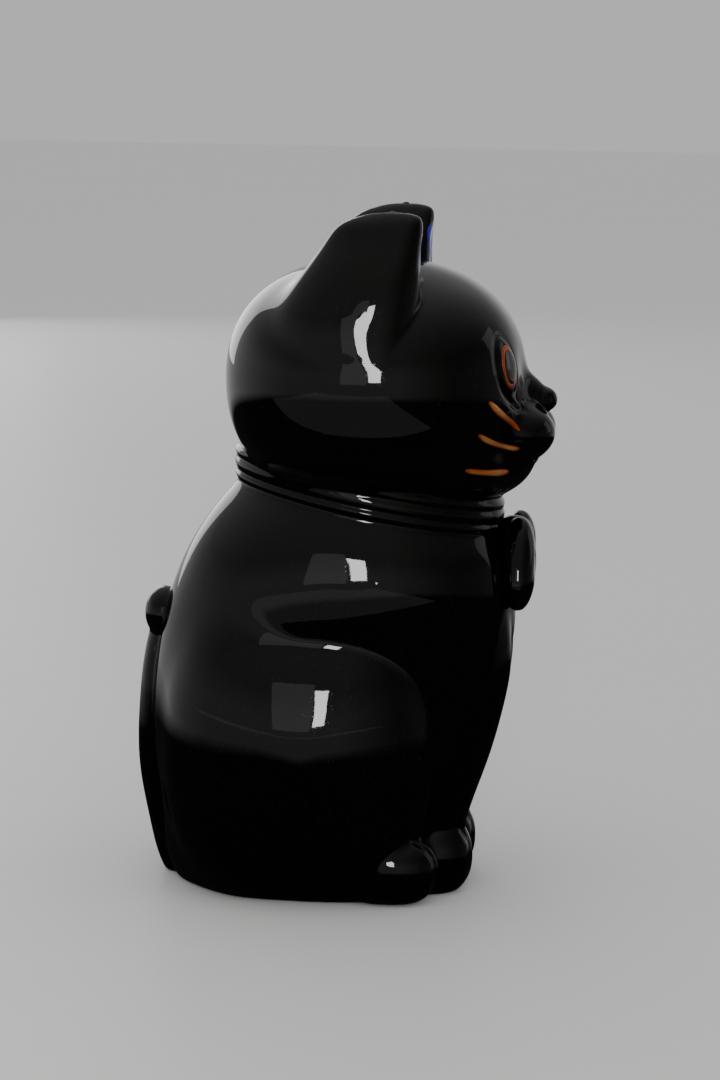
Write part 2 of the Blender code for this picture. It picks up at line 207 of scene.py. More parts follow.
class KittenStudio(bpy.types.PropertyGroup):
    """Camera and lights."""

    azimuth: bpy.props.FloatProperty(
        name="Azimuth", description="Where the camera stands round the kitten",
        default=math.radians(-86), subtype="ANGLE",
    )
    elevation: bpy.props.FloatProperty(
        name="Elevation", description="How far the camera looks down",
        default=math.radians(8.7), subtype="ANGLE",
    )
    roll: bpy.props.FloatProperty(
        name="Roll", description="How far the camera leans", default=math.radians(1.0), subtype="ANGLE"
    )
    distance: bpy.props.FloatProperty(
        name="Distance", description="From the camera to the kitten", default=0.79, unit="LENGTH"
    )
    key: bpy.props.FloatProperty(
        name="Key", description="Strength of the window light", default=9.0, unit="POWER"
    )
    top: bpy.props.FloatProperty(
        name="Top", description="Strength of the overhead light", default=3.0, unit="POWER"
    )
    rim: bpy.props.FloatProperty(
        name="Rim", description="Strength of the panels behind", default=5.0, unit="POWER"
    )


# ---- Forms: each is a function from points to how far outside the form they are ----


def smooth_curve(rows):
    """Reads a curve through rows whose first column rises, with no break in its bend.

    Past an end it keeps that end.
    """
    rows = np.array(rows, float)
    place, values = rows[:, 0], rows[:, 1:]
    step = np.diff(place)
    count = len(place)
    system, wanted = np.eye(count), np.zeros_like(values)
    for i in range(1, count - 1):
        system[i, i - 1 : i + 2] = step[i - 1], 2 * (step[i - 1] + step[i]), step[i]
        slope_before = (values[i] - values[i - 1]) / step[i - 1]
        wanted[i] = 6 * ((values[i + 1] - values[i]) / step[i] - slope_before)
    bend = np.linalg.solve(system, wanted)

    def read(at):
        at = np.clip(at, place[0], place[-1])
        i = np.clip(np.searchsorted(place, at) - 1, 0, count - 2)
        h = step[i][:, None]
        after = (at - place[i])[:, None]
        before = h - after
        return (
            (bend[i] * before**3 + bend[i + 1] * after**3) / (6 * h)
            + (values[i] / h - bend[i] * h / 6) * before
            + (values[i + 1] / h - bend[i + 1] * h / 6) * after
        ).T

    return read


def evened(raw, points, reach=1e-5):
    """A raw form divided by its steepness, so that it reads as a distance near its surface."""
    value = raw(points)
    slopes = [(raw(points + reach * axis) - value) / reach for axis in np.eye(3)]
    steepness = np.sqrt(sum(slope**2 for slope in slopes))
    return value / np.maximum(steepness, 1e-6)


def blend(a, b, radius):
    """The union of two distances, rounded where they meet."""
    overlap = np.maximum(radius - np.abs(a - b), 0) / radius
    return np.minimum(a, b) - overlap**3 * radius / 6


def carve(a, b, radius):
    """What is left of a once b is cut from it, rounded at the cut's edge."""
    return -blend(-a, b, radius)


def smooth_step(share):
    share = np.clip(share, 0, 1)
    return share * share * (3 - 2 * share)


def slice_form(across, forward, half_width, front, wide, back, squareness):
    """A rounded cross-section that is widest at wide. Below 0 inside."""
    middle, half = (front + back) / 2, (back - front) / 2
    bias = (wide - middle) / half
    along = np.clip((forward - middle) / half, -1.6, 1.6)
    along = along - bias / (1 - bias**2) * (1 - along**2)
    total = np.abs(across / half_width) ** squareness + np.abs(along) ** squareness
    return total ** (1 / squareness) - 1


def tilt_at(height):
    return NECK_SLOPE * smooth_step((height - TILT_FROM) / (NECK_Z - TILT_FROM))


def torso_raw(points, curve=smooth_curve(TORSO)):
    x, y, z = points.T
    height = z
    for _ in range(5):
        height = z - tilt_at(height) * y
    front, wide, back, half_width, squareness = curve(height)
    return slice_form(x, y, half_width, front, wide, back, squareness)


def column_raw(curve, x_middle, from_front):
    """An upright form whose oval cross-section changes with height."""

    def raw(points):
        x, y, z = points.T
        place, half_depth, half_width = curve(z)
        middle = place + half_depth if from_front else place
        return np.sqrt(((x - x_middle) / half_width) ** 2 + ((y - middle) / half_depth) ** 2) - 1

    return raw


def egg(points, centre, sizes, squareness=2.0, lean=0.0, low=None, rear=None, outline=None):
    """A rounded form, turned about Y by lean.

    low and rear are other sizes for its lower and rear half, and outline is the squareness of
    its outline from the side, where that differs.
    """
    centre, sizes = np.array(centre, float), np.array(sizes, float)
    found = np.full(len(points), FAR)
    offset = points - centre
    near = (np.abs(offset) < sizes.max() * 1.1 + FAR).all(axis=1)
    turn = np.array(Matrix.Rotation(lean, 3, "Y"))

    def raw(place):
        x, y, z = (place @ turn).T
        depth = sizes[1] if rear is None else np.where(y < 0, sizes[1], rear)
        height = sizes[2] if low is None else np.where(z > 0, sizes[2], low)
        if outline is not None:
            side_on = (np.abs(y / depth) ** outline + np.abs(z / height) ** outline) ** (1 / outline)
            return np.hypot(x / sizes[0], side_on) - 1
        total = np.abs(x / sizes[0]) ** squareness + np.abs(y / depth) ** squareness
        return (total + np.abs(z / height) ** squareness) ** (1 / squareness) - 1

    if near.any():
        found[near] = evened(raw, offset[near])
    return found


def from_line(points, line):
    """Distance from a line through the given places."""
    line = np.array(line, float)
    found = np.full(len(points), 1.0)
    for start, end in zip(line, line[1:]):
        along = end - start
        share = np.clip((points - start) @ along / (along @ along), 0, 1)
        found = np.minimum(found, np.linalg.norm(points - start - share[:, None] * along, axis=1))
    return found


def press(distance, width, depth):
    """How far a tool of this width presses the clay in, at a distance from its middle."""
    return depth * np.exp(-((distance / width) ** 2))


def collar_form(points):
    """A band round the neck with two grooves, square to the neck's slope."""
    x, y, z = points.T
    half, middle = (NECK_BACK - NECK_FRONT) / 2, (NECK_BACK + NECK_FRONT) / 2
    ring = np.sqrt((x / NECK_HALF_WIDTH) ** 2 + ((y - middle) / half) ** 2)
    out = (ring - 1) * np.sqrt(x**2 + (y - middle) ** 2) / np.maximum(ring, 1e-6)
    up = (z - NECK_Z - NECK_SLOPE * y) / math.sqrt(1 + NECK_SLOPE**2)
    corner, half_thick, half_tall, lift = 0.0016, 0.0023, 0.0042, 0.0006
    over_side = np.maximum(np.abs(out) - (half_thick - corner), 0)
    over_top = np.maximum(np.abs(up - lift) - (half_tall - corner), 0)
    band = np.sqrt(over_side**2 + over_top**2) - corner
    return band + press(up + 0.0012, 0.0008, 0.0006) + press(up - 0.0022, 0.0008, 0.0004)


def toe_lines(points, middle, front, tops):
    """The two grooves between the three toes of a paw."""
    found = 0
    for toe in (-1, 1):
        x = middle + toe * front
        line = [(x, y, z) for y, z in tops]
        found = found + press(from_line(points, line), 0.0012, 0.0007)
    return found


def body_form(points, crease):
    """Torso, haunches, legs and feet, with the collar and tail."""
    body = carve(evened(torso_raw, points), NECK_TOP - points[:, 2], 0.002)
    foreleg = smooth_curve(FORELEG)
    near_leg = points[:, 2] < 0.09
    rear = smooth_step((points[:, 1] - 0.008) / 0.022)
    for _, side in SIDES:
        haunch = egg(
            points, (side * 0.0215, 0.0080, 0.0380), (0.0208, 0.0338, 0.0392), rear=0.0352, outline=2.6
        )
        body = blend(body, haunch, crease + 0.009 * rear)
        leg = np.full(len(points), FAR)
        leg[near_leg] = evened(column_raw(foreleg, side * FORELEG_X, True), points[near_leg])
        paw = egg(points, (side * FORELEG_X, -0.0253, 0.0092), (0.0094, 0.0104, 0.0108), 2.3)
        foot = egg(points, (side * HIND_FOOT_X, -0.0140, 0.0086), (0.0090, 0.0134, 0.0098), 2.3)
        body = blend(body, blend(leg, paw, crease), crease)
        body = blend(body, foot, crease)
        paw_line = ((-0.030, 0.0190), (-0.0352, 0.0140), (-0.0358, 0.003))
        foot_line = ((-0.020, 0.0175), (-0.0262, 0.0125), (-0.0272, 0.003))
        body = body + toe_lines(points, side * FORELEG_X, 0.0030, paw_line)
        body = body + toe_lines(points, side * HIND_FOOT_X, 0.0029, foot_line)
    body = blend(body, tail_form(points), 0.0016)
    knob = egg(points, (-0.0012, 0.0474, 0.0702), (0.0070, 0.0052, 0.0068), 2.1)
    body = blend(body, knob, 0.0010)
    return blend(body, collar_form(points), 0.0018)


def tail_form(points):
    """The tail laid up the back, below its curled knob."""
    near = (points[:, 2] < 0.085) & (points[:, 1] > 0.03)
    column = column_raw(smooth_curve([(z, y, thick, width) for z, y, width, thick in TAIL]), 0.0, False)
    strip = np.full(len(points), FAR)
    strip[near] = evened(column, points[near])
    return carve(strip, TAIL[-1][0] - points[:, 2], 0.002)


def ear_form(points, side, curve=smooth_curve([(math.sqrt(row[0] / MM), *row[1:]) for row in EAR])):
    """An ear whose sections close in a rounded tip, hollowed a little in front."""

    def raw(place):
        x, y, z = place.T
        under = (EAR_TIP - z) / MM
        inner, outer, front, back = curve(np.sqrt(np.maximum(under, 0)))
        middle, half = (inner + outer) / 2, (outer - inner) / 2
        form = slice_form(side * x - middle, y, half, front, front + 0.40 * (back - front), back, 2.4)
        return form + np.maximum(-under, 0)

    found = np.full(len(points), FAR)
    x, y, z = points.T
    near = (side * x > 0) & (z > 0.118) & (y > -0.034) & (y < 0.03)
    if near.any():
        found[near] = np.clip(evened(raw, points[near]), -0.02, FAR)
    scoop = egg(points, (side * 0.0282, -0.0232, 0.1645), (0.0068, 0.0044, 0.0100), 2.0)
    return carve(found, scoop, 0.0026)


def eye_outline(side):
    """The line pressed round an eye, carried on to a point towards the nose."""
    outline = np.array(EYE_OUTLINE + EYE_OUTLINE[:3]) * MM
    curve = smooth_curve([(i, *place) for i, place in enumerate(outline)])
    across, up = curve(np.linspace(1, 1 + len(EYE_OUTLINE), 57))
    return side * across, up


def head_form(points, crease):
    """Skull, muzzle, nose, chin and ears."""
    skull = egg(points, (0, -0.0065, 0.134), (0.0445, 0.040, 0.031), 2.25, low=0.034, rear=0.038)
    throat = egg(points, (0, -0.0260, 0.1135), (0.0290, 0.0195, 0.0140))
    chin = egg(points, (0, -0.0406, 0.1138), (0.0125, 0.0084, 0.0078))
    pads = [
        egg(points, (side * 0.0066, -0.0450, 0.1209), (0.0104, 0.0094, 0.0074)) for _, side in SIDES
    ]
    bridge = egg(points, (0, -0.0462, 0.1306), (0.0052, 0.0050, 0.0040))
    nose = egg(points, (0, -0.0513, 0.1288), (0.0042, 0.0034, 0.0033))
    head = blend(blend(skull, throat, 0.006), chin, 0.008)
    head = blend(head, blend(*pads, 0.0020), 0.007)
    head = blend(blend(head, bridge, 0.008), nose, 0.0022)
    x, y, z = points.T
    face = y < -0.026
    for _, side in SIDES:
        behind, above = smooth_step((y + 0.016) / 0.018), smooth_step((z - 0.137) / 0.016)
        head = blend(head, ear_form(points, side), crease * 0.6 + 0.009 * behind * above)
        inner_corner = np.array([side * 0.0095, -0.0455, 0.1372])
        head = head + press(np.linalg.norm(points - inner_corner, axis=1), 0.0060, 0.0006)
        nostril = np.array([side * 0.0033, -0.0526, 0.1292])
        head = head + press(np.linalg.norm(points - nostril, axis=1), 0.0010, 0.0007)
        if face.any():
            across, up = eye_outline(side)
            flat = np.column_stack([x, 0 * y, z])[face]
            rim = from_line(flat, np.column_stack([across, 0 * across, up]))
            head[face] += press(rim, 0.0008, 0.00032)
            ball = np.hypot((side * x[face] - EYE_X) / 0.0050, (z[face] - EYE_Z) / 0.0064)
            head[face] -= 0.0003 * smooth_step((1.25 - ball) / 0.5)
        lip = [
            (0, -0.053, 0.1165), (side * 0.003, -0.0522, 0.1150),
            (side * 0.0075, -0.0497, 0.1142), (side * 0.0118, -0.0465, 0.1160),
        ]
        head = head + press(from_line(points, lip), 0.0008, 0.0006)
    under_nose = [(0, -0.0535, 0.1262), (0, -0.0540, 0.1215), (0, -0.053, 0.1165)]
    return head + press(from_line(points, under_nose), 0.0008, 0.0006)


def whole_form(points, crease):
    """Body and head as one casting, flat where it stands."""
    body = body_form(points, crease)
    near = points[:, 2] > 0.088
    if near.any():
        body[near] = blend(body[near], head_form(points[near], crease), 0.0022)
    return carve(body, points[:, 2], 0.0016) if (points[:, 2] < 0.01).any() else body


def bow_form(points):
    """A knot and two drooping loops, folded where the knot pinches them."""
    bow = egg(points, (0, -0.0445, 0.0930), (0.0046, 0.0050, 0.0052), 2.2)
    for _, side in SIDES:
        centre, sizes = (side * 0.0088, -0.0458, 0.0868), (0.0076, 0.0046, 0.0124)
        loop = egg(points, centre, sizes, 2.2, lean=-side * 0.42)
        pinch = [
            (side * 0.003, -0.0500, 0.0935), (side * 0.0075, -0.0515, 0.0900),
            (side * 0.0105, -0.0520, 0.0855),
        ]
        loop = loop + press(from_line(points, pinch), 0.0018, 0.0014)
        bow = blend(bow, loop, 0.0010)
    return bow


def foot_outline(points, inset):
    """How far outside the base's outline, drawn in by inset, a point is."""
    x, y, _ = points.T
    front, back, half_width = -0.0240 + inset, 0.0438 - inset, 0.0298 - inset

    def raw(place):
        return slice_form(place[:, 0], place[:, 1], half_width, front, 0.006, back, 2.3)

    return evened(raw, np.column_stack([x, y, 0 * x]))


def vent(points, radius):
    return np.hypot(points[:, 0], points[:, 1] - 0.008) - radius


def foot_recess(form, points):
    """The form with a shallow recess under it for the bare clay, and a dark pocket behind the vent."""
    low = points[:, 2] < 0.012
    if low.any():
        under = points[low]
        recess = np.maximum(foot_outline(under, 0.0040), under[:, 2] - 0.0011)
        pocket = np.maximum(vent(under, 0.0026), under[:, 2] - 0.0070)
        form[low] = carve(carve(form[low], recess, 0.0008), pocket, 0.0004)
    return form


def foot_form(points):
    """Bare clay plate that fills the recess, pierced by the vent."""
    slab = np.abs(points[:, 2] - 0.0009) - 0.0006
    plate = -blend(-foot_outline(points, 0.0044), -slab, 0.0005)
    return carve(plate, vent(points, 0.0018), 0.0006)


# ---- Meshes ----


def gradient(form, points, reach=2e-5):
    """How a form's distance changes along each axis."""
    return np.column_stack([
        (form(points + reach * axis) - form(points - reach * axis)) / (2 * reach) for axis in np.eye(3)
    ])


def settle(form, points, rounds=3):
    """Moves points onto a form's surface."""
    for _ in range(rounds):
        slope = gradient(form, points)
        points = points - slope * (form(points) / np.maximum((slope**2).sum(axis=1), 1e-6))[:, None]
    return points


def facing(form, points):
    """Which way a form's surface faces at the given places."""
    slope = gradient(form, points)
    return slope / np.linalg.norm(slope, axis=1)[:, None]


def sample(form, low, high, cell):
    """The form's values on a grid, worked out in full only near its surface."""
    counts = np.ceil((np.array(high) - low) / cell).astype(int) + 1
    coarse_by = 4
    coarse_counts = counts // coarse_by + 2
    ranges = [np.arange(n) for n in coarse_counts]
    coarse = np.stack(np.meshgrid(*ranges, indexing="ij"), -1).reshape(-1, 3)
    rough = form(low + coarse * cell * coarse_by).reshape(coarse_counts)
    near = np.abs(rough) < 2.6 * cell * coarse_by
    grown = near.copy()
    for axis in range(3):
        grown |= np.roll(near, 1, axis) | np.roll(near, -1, axis)
    index = [
        np.minimum((np.arange(n) + coarse_by // 2) // coarse_by, m - 1)
        for n, m in zip(counts, coarse_counts)
    ]
    wanted = grown[np.ix_(*index)]
    values = np.where(rough[np.ix_(*index)] < 0, -1.0, 1.0)
    places = np.argwhere(wanted)
    values[wanted] = form(low + places * cell)
    return values


def net(values, low, cell):
    """Points and quads of the surface where the grid's values pass through 0."""
    inside = values < 0
    corner_ids = [(i, j, k) for i in (0, 1) for j in (0, 1) for k in (0, 1)]
    shape = tuple(n - 1 for n in values.shape)

    def corner(array, c):
        return array[c[0] : c[0] + shape[0], c[1] : c[1] + shape[1], c[2] : c[2] + shape[2]]

    count = sum(corner(inside, c).astype(np.int8) for c in corner_ids)
    cells = np.argwhere((count > 0) & (count < 8))
    number = np.full(shape, -1)
    number[tuple(cells.T)] = np.arange(len(cells))
    total, crossings = np.zeros((len(cells), 3)), np.zeros(len(cells))
    for a in corner_ids:
        for axis in range(3):
            if a[axis]:
                continue
            b = tuple(v + (k == axis) for k, v in enumerate(a))
            from_value, to_value = (values[tuple((cells + c).T)] for c in (a, b))
            crossed = (from_value < 0) != (to_value < 0)
            share = np.where(crossed, from_value / np.where(crossed, from_value - to_value, 1), 0)
            place = np.array(a, float) + share[:, None] * np.eye(3)[axis]
            total += place * crossed[:, None]
            crossings += crossed
    points = low + (cells + total / crossings[:, None]) * cell
    quads = []
    for axis in range(3):
        first, second = [k for k in range(3) if k != axis]
        ends = [slice(None)] * 3
        starts = list(ends)
        starts[axis], ends[axis] = slice(None, -1), slice(1, None)
        change = inside[tuple(starts)].astype(int) - inside[tuple(ends)]
        for sign in (1, -1):
            edges = np.argwhere(change == sign)
            within = [(edges[:, k] > 0) & (edges[:, k] < shape[k]) for k in (first, second)]
            edges = edges[within[0] & within[1]]
            around = []
            for back_first, back_second in ((0, 0), (1, 0), (1, 1), (0, 1)):
                at = edges.copy()
                at[:, first] -= back_first
                at[:, second] -= back_second
                around.append(number[tuple(at.T)])
            quad = np.column_stack(around)
            forward = sign * (1 if axis != 1 else -1) > 0
            quads.append(quad if forward else quad[:, ::-1])
    return points, np.concatenate(quads)


def new_piece(name, points, faces):
    mesh = bpy.data.meshes.new(name)
    mesh.from_pydata([tuple(p) for p in points], [], [tuple(map(int, f)) for f in faces])
    mesh.update()
    mesh.shade_smooth()
    piece = bpy.data.objects.new(name, mesh)
    bpy.context.scene.collection.objects.link(piece)
    return piece


def refine(piece, form, where):
    """Halves the spacing of a casting's points where the form has fine detail."""
    bm = bmesh.new()
    bm.from_mesh(piece.data)
    chosen = where(np.array([v.co for v in bm.verts]))
    edges = [e for e in bm.edges if chosen[e.verts[0].index] and chosen[e.verts[1].index]]
    bmesh.ops.subdivide_edges(bm, edges=edges, cuts=1, use_grid_fill=True)
    added = list(bm.verts)[len(chosen):]
    for vertex, place in zip(added, settle(form, np.array([v.co for v in added]), 2)):
        vertex.co = place
    bm.to_mesh(piece.data)
    bm.free()


def cast(name, form, low, high, cell, keep_above=None, fine=None):
    """A smooth casting of a form inside a box. keep_above says which side of the neck seam stays."""
    low, high = np.array(low, float), np.array(high, float)
    points, quads = net(sample(form, low, high, cell), low, cell)
    piece = new_piece(name, settle(form, points), quads)
    if fine is not None:
        refine(piece, form, fine)
    if keep_above is not None:
        cut_level(piece, SEAM_Z, NECK_SLOPE, keep_above)
    points = np.array([v.co for v in piece.data.vertices])
    piece.data.normals_split_custom_set_from_vertices(facing(form, points))
    return piece


def cut_level(piece, height, slope, keep_above):
    """Cuts a casting along the sloping neck plane and closes the cut."""
    bm = bmesh.new()
    bm.from_mesh(piece.data)
    across = Vector((0.0, -slope, 1.0)).normalized()
    everything = bm.verts[:] + bm.edges[:] + bm.faces[:]
    made = bmesh.ops.bisect_plane(
        bm, geom=everything, dist=1e-7, plane_co=(0, 0, height), plane_no=across,
        clear_inner=keep_above, clear_outer=not keep_above,
    )
    edges = [e for e in made["geom_cut"] if isinstance(e, bmesh.types.BMEdge)]
    bmesh.ops.holes_fill(bm, edges=edges, sides=0)
    bmesh.ops.recalc_face_normals(bm, faces=bm.faces[:])
    bm.to_mesh(piece.data)
    bm.free()


def join_grid(rows, wrapped):
    """Quads between neighbours of a grid whose rows may close on themselves."""
    count, width = rows.shape
    ends = np.arange(width if wrapped else width - 1)
    quads = []
    for a, b in zip(rows, rows[1:]):
        quads += [(a[i], a[(i + 1) % width], b[(i + 1) % width], b[i]) for i in ends]
    return quads


def lay(name, form, places, toward, heights, wrapped=False):
    """Enamel on a form.

    The grid of places moves along a direction to the surface, and stands off it by heights. Its
    underside is sunk a little into the form.
    """
    sunk = 0.0003
    rows, width = places.shape[:2]
    points = places.reshape(-1, 3).astype(float)
    for _ in range(25):
        points = points + np.array(toward) * form(points)[:, None]
    points = settle(form, points, 2)
    outward = facing(form, points)
    over = points + outward * heights.reshape(-1, 1)
    under = points - outward * sunk
    number = np.arange(rows * width).reshape(rows, width)
    top, bottom = join_grid(number, wrapped), join_grid(number + number.size, wrapped)
    faces = top + [quad[::-1] for quad in bottom]
    if wrapped:
        last, after = number[-1], np.roll(number[-1], -1)
        faces += [(a, a + number.size, b + number.size, b) for a, b in zip(last, after)]
        faces += [tuple(number[0][::-1]), tuple(number[0] + number.size)]
    else:
        border = [*number[0], *number[1:, -1], *number[-1, -2::-1], *number[-2:0:-1, 0]]
        ends = zip(border, border[1:] + border[:1])
        faces += [(a, b, b + number.size, a + number.size) for a, b in ends]
    piece = new_piece(name, np.concatenate([over, under]), faces)
    thickness = piece.data.attributes.new("thickness", "FLOAT", "POINT")
    shares = heights.reshape(-1) / heights.max()
    thickness.data.foreach_set("value", np.concatenate([shares, 0 * shares]))
    bm = bmesh.new()
    bm.from_mesh(piece.data)
    bmesh.ops.recalc_face_normals(bm, faces=bm.faces[:])
    bm.to_mesh(piece.data)
    bm.free()
    return piece


# ---- Finishes ----


class Value:
    """A number inside a finish. Arithmetic on it adds the nodes that work it out."""

    def __init__(self, finish, socket):
        self.finish, self.socket = finish, socket

    def worked(self, operation, *numbers):
        return self.finish.add("ShaderNodeMath", {"operation": operation}, dict(enumerate(numbers)))

    def __add__(self, other):
        return self.worked("ADD", self, other)

    def __radd__(self, other):
        return self.worked("ADD", other, self)

    def __sub__(self, other):
        return self.worked("SUBTRACT", self, other)

    def __rsub__(self, other):
        return self.worked("SUBTRACT", other, self)

    def __mul__(self, other):
        return self.worked("MULTIPLY", self, other)

    def __rmul__(self, other):
        return self.worked("MULTIPLY", other, self)


class Finish:
    """A material, or the world, while its nodes are being added."""

    def __init__(self, holder):
        holder.use_nodes = True
        self.tree = holder.node_tree
        self.tree.nodes.clear()
        on_object = isinstance(holder, bpy.types.Material)
        self.place = self.add("ShaderNodeTexCoord", {}, {}, "Object") if on_object else None

    def add(self, kind, settings, inputs, output=0):
        """Adds a node. Its settings come first, then its sockets' values or links. Gives one output."""
        node = self.tree.nodes.new(kind)
        for name, setting in settings.items():
            if name == "stops":
                ramp = node.color_ramp.elements
                while len(ramp) < len(setting):
                    ramp.new(0.5)
                for stop, (position, colour) in zip(ramp, setting):
                    stop.position, stop.color = position, (*colour, 1)
            else:
                setattr(node, name, setting)
        for name, value in inputs.items():
            if isinstance(value, Value):
                self.tree.links.new(value.socket, node.inputs[name])
            elif isinstance(value, tuple) and node.inputs[name].type == "RGBA":
                node.inputs[name].default_value = (*value, 1)
            else:
                node.inputs[name].default_value = value
        return Value(self, node.outputs[output]) if len(node.outputs) else None

    def noise(self, scale, detail=2.0, place=None):
        """Cloudy values from 0 to 1. Scale is in clouds to a metre."""
        inputs = {"Vector": place or self.place, "Scale": scale, "Detail": detail}
        return self.add("ShaderNodeTexNoise", {}, inputs, "Fac")

    def specks(self, scale):
        """Distance from scattered points, in cells."""
        return self.add("ShaderNodeTexVoronoi", {}, {"Vector": self.place, "Scale": scale}, "Distance")

    def ramp(self, value, *stops):
        """A value read off a scale of greys between stops."""
        stops = [(position, (grey, grey, grey)) for position, grey in stops]
        return self.add("ShaderNodeValToRGB", {"stops": stops}, {"Fac": value}, "Color")

    def mix(self, share, first, second):
        """A colour between two."""
        inputs = {"Factor": share, 6: first, 7: second}
        return self.add("ShaderNodeMix", {"data_type": "RGBA"}, inputs, 2)

    def stretched(self, across, along, up):
        """The place with each direction scaled, for streaks."""
        return self.add(
            "ShaderNodeVectorMath", {"operation": "MULTIPLY"}, {0: self.place, 1: (across, along, up)}
        )

    def bump(self, height, distance):
        """A surface that rises by height times a distance."""
        inputs = {"Height": height, "Distance": distance, "Strength": 1.0}
        return self.add("ShaderNodeBump", {}, inputs, "Normal")

    def surface(self, **inputs):
        """The shader that takes all of it. Names are its sockets' names with _ for a space."""
        named = {name.replace("_", " "): value for name, value in inputs.items()}
        shader = self.add("ShaderNodeBsdfPrincipled", {}, named)
        self.add("ShaderNodeOutputMaterial", {}, {"Surface": shader})


def new_finish(name):
    material = bpy.data.materials.new(f"kitten_{name}")
    return material, Finish(material)


def black_glaze(colour):
    """Black glaze: a deep, even gloss with faint waves, a few pinholes and a thin bloom of dust."""
    material, finish = new_finish("black_glaze")
    cloud = finish.noise(38, 3)
    waves = finish.noise(75, 1.5)
    peel = finish.noise(420, 2)
    dust = finish.ramp(finish.noise(1500, 2), (0.63, 0.0), (0.74, 1.0))
    holes = finish.ramp(finish.specks(95), (0.0, 1.0), (0.055, 0.0))
    holes = holes * finish.ramp(finish.noise(60, 1), (0.52, 0.0), (0.60, 1.0))
    brown = (colour[0] * 2.0 + 0.0004, colour[1] * 1.6, colour[2] * 1.1)
    base = finish.mix(cloud, colour, brown)
    base = finish.mix(dust * 0.16, base, (0.030, 0.030, 0.030))
    height = waves * 0.6 + peel * 0.05 - holes * 0.5
    finish.surface(
        Base_Color=base,
        Roughness=0.018 + cloud * 0.02 + dust * 0.10 + holes * 0.2,
        Normal=finish.bump(height, 0.00012),
        IOR=1.5,
        Specular_IOR_Level=0.36,
    )
    return material


def gold_lustre(thick, thin_and_reflected):
    """Fired gold, brushed on: bright where it is thick, coppery at its thinly laid edges and in
    patches, with streaks; that copper red is partly a painted reflection of a red surface.
    """
    material, finish = new_finish("gold_lustre")
    streaks = finish.noise(220, 3, place=finish.stretched(1.0, 1.0, 5.0))
    patches = finish.noise(75, 2)
    thickness = finish.add("ShaderNodeAttribute", {"attribute_name": "thickness"}, {}, "Fac")
    # Copper shows at thinly laid edges and in random patches, partly as a painted reflection of a red
    # surface
    share = finish.ramp(thickness * 0.45 + patches * 0.45 + streaks * 0.1, (0.52, 0.0), (0.76, 1.0))
    finish.surface(
        Base_Color=finish.mix(share, thin_and_reflected, thick),
        Metallic=0.8,
        Roughness=0.22 + streaks * 0.22,
        Normal=finish.bump(streaks, 0.00012),
    )
    return material


def enamel(name, colour, roughness):
    """Painted enamel, a little thinner and rougher in places."""
    material, finish = new_finish(name)
    patches = finish.noise(260, 3)
    dark = tuple(c * 0.55 for c in colour)
    finish.surface(
        Base_Color=finish.mix(patches, dark, colour),
        Roughness=roughness + patches * 0.08,
        Normal=finish.bump(finish.noise(900, 2), 0.00005),
        Coat_Weight=0.4,
        Coat_Roughness=0.03,
    )
    return material


def bare_clay(colour):
    """Fired red clay with no glaze: sandy and chalky, with dark grains."""
    material, finish = new_finish("bare_clay")
    cloud = finish.noise(70, 4)
    sand = finish.noise(1600, 3)
    grains = finish.ramp(finish.specks(700), (0.0, 1.0), (0.20, 0.0))
    pale = tuple(min(c * 1.55 + 0.03, 1) for c in colour)
    base = finish.mix(cloud, colour, pale)
    base = finish.mix(grains * 0.6, base, tuple(c * 0.35 for c in colour))
    finish.surface(
        Base_Color=base,
        Roughness=0.78 + sand * 0.18,
        Normal=finish.bump(sand + grains * 0.4, 0.00025),
    )
    return material


def floor_finish(colour):
    """Smooth painted board, very slightly uneven."""
    material, finish = new_finish("studio_floor")
    cloud = finish.noise(3, 3)
    base = finish.mix(cloud, tuple(c * 0.97 for c in colour), colour)
    finish.surface(
        Base_Color=base,
        Roughness=0.40 + finish.noise(40, 3) * 0.10,
        Normal=finish.bump(finish.noise(600, 3), 0.00006),
        Specular_IOR_Level=0.15,
    )
    return material


# ---- Operators ----


def fine_on_body(points):
    """Where the collar, the toes and the tail's curl are."""
    _, y, z = points.T
    collar = np.abs(z - NECK_Z - NECK_SLOPE * y) < 0.0075
    return collar | ((z < 0.021) & (y < -0.019)) | ((y > 0.038) & (z > 0.062) & (z < 0.080))


def fine_on_head(points):
    """Where the face is."""
    _, y, z = points.T
    return (y < -0.036) & (z > 0.108) & (z < 0.149)


def settings():
    scene = bpy.context.scene
    return scene.kitten_sizes, scene.kitten_colours, scene.kitten_studio


def finished(piece, material, slot, *nodes):
    """Gives a piece its finish and its body, and hides the solids that it stands for."""
    piece.data.materials.clear()
    piece.data.materials.append(material)
    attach(piece, "root")
    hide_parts(*nodes)
    return piece


def shared(name, make, *values):
    """A material made once and used by several pieces."""
    return bpy.data.materials.get(f"kitten_{name}") or make(*values)


def cell_of(size):
    """The spacing of the points, as it is given."""
    return size * 1.0


class KITTEN_OT_body(bpy.types.Operator):
    """Body casting: torso, haunches, legs, feet and tail, up to the collar's top edge"""

    bl_idname = "kitten.body"
    bl_label = "Body casting"

    def execute(self, context):
        sizes, colours, _ = settings()
        piece = cast(
            "body_casting",
            lambda points: foot_recess(whole_form(points, sizes.crease), points),
            (-0.0460, -0.0520, -0.0030),
            (0.0460, 0.0600, SEAM_Z + 0.0110),
            cell_of(sizes.body_cell),
            keep_above=False,
            fine=fine_on_body,
        )
        limbs = ("haunch", "foreleg", "forepaw", "hind_foot")
        sides = [f"{limb}_{label}" for limb in limbs for label, _ in SIDES]
        glaze = shared("black_glaze", black_glaze, tuple(colours.glaze))
        finished(piece, glaze, "black_glaze", "torso_shell", "tail", "collar_band", *sides)
        return {"FINISHED"}


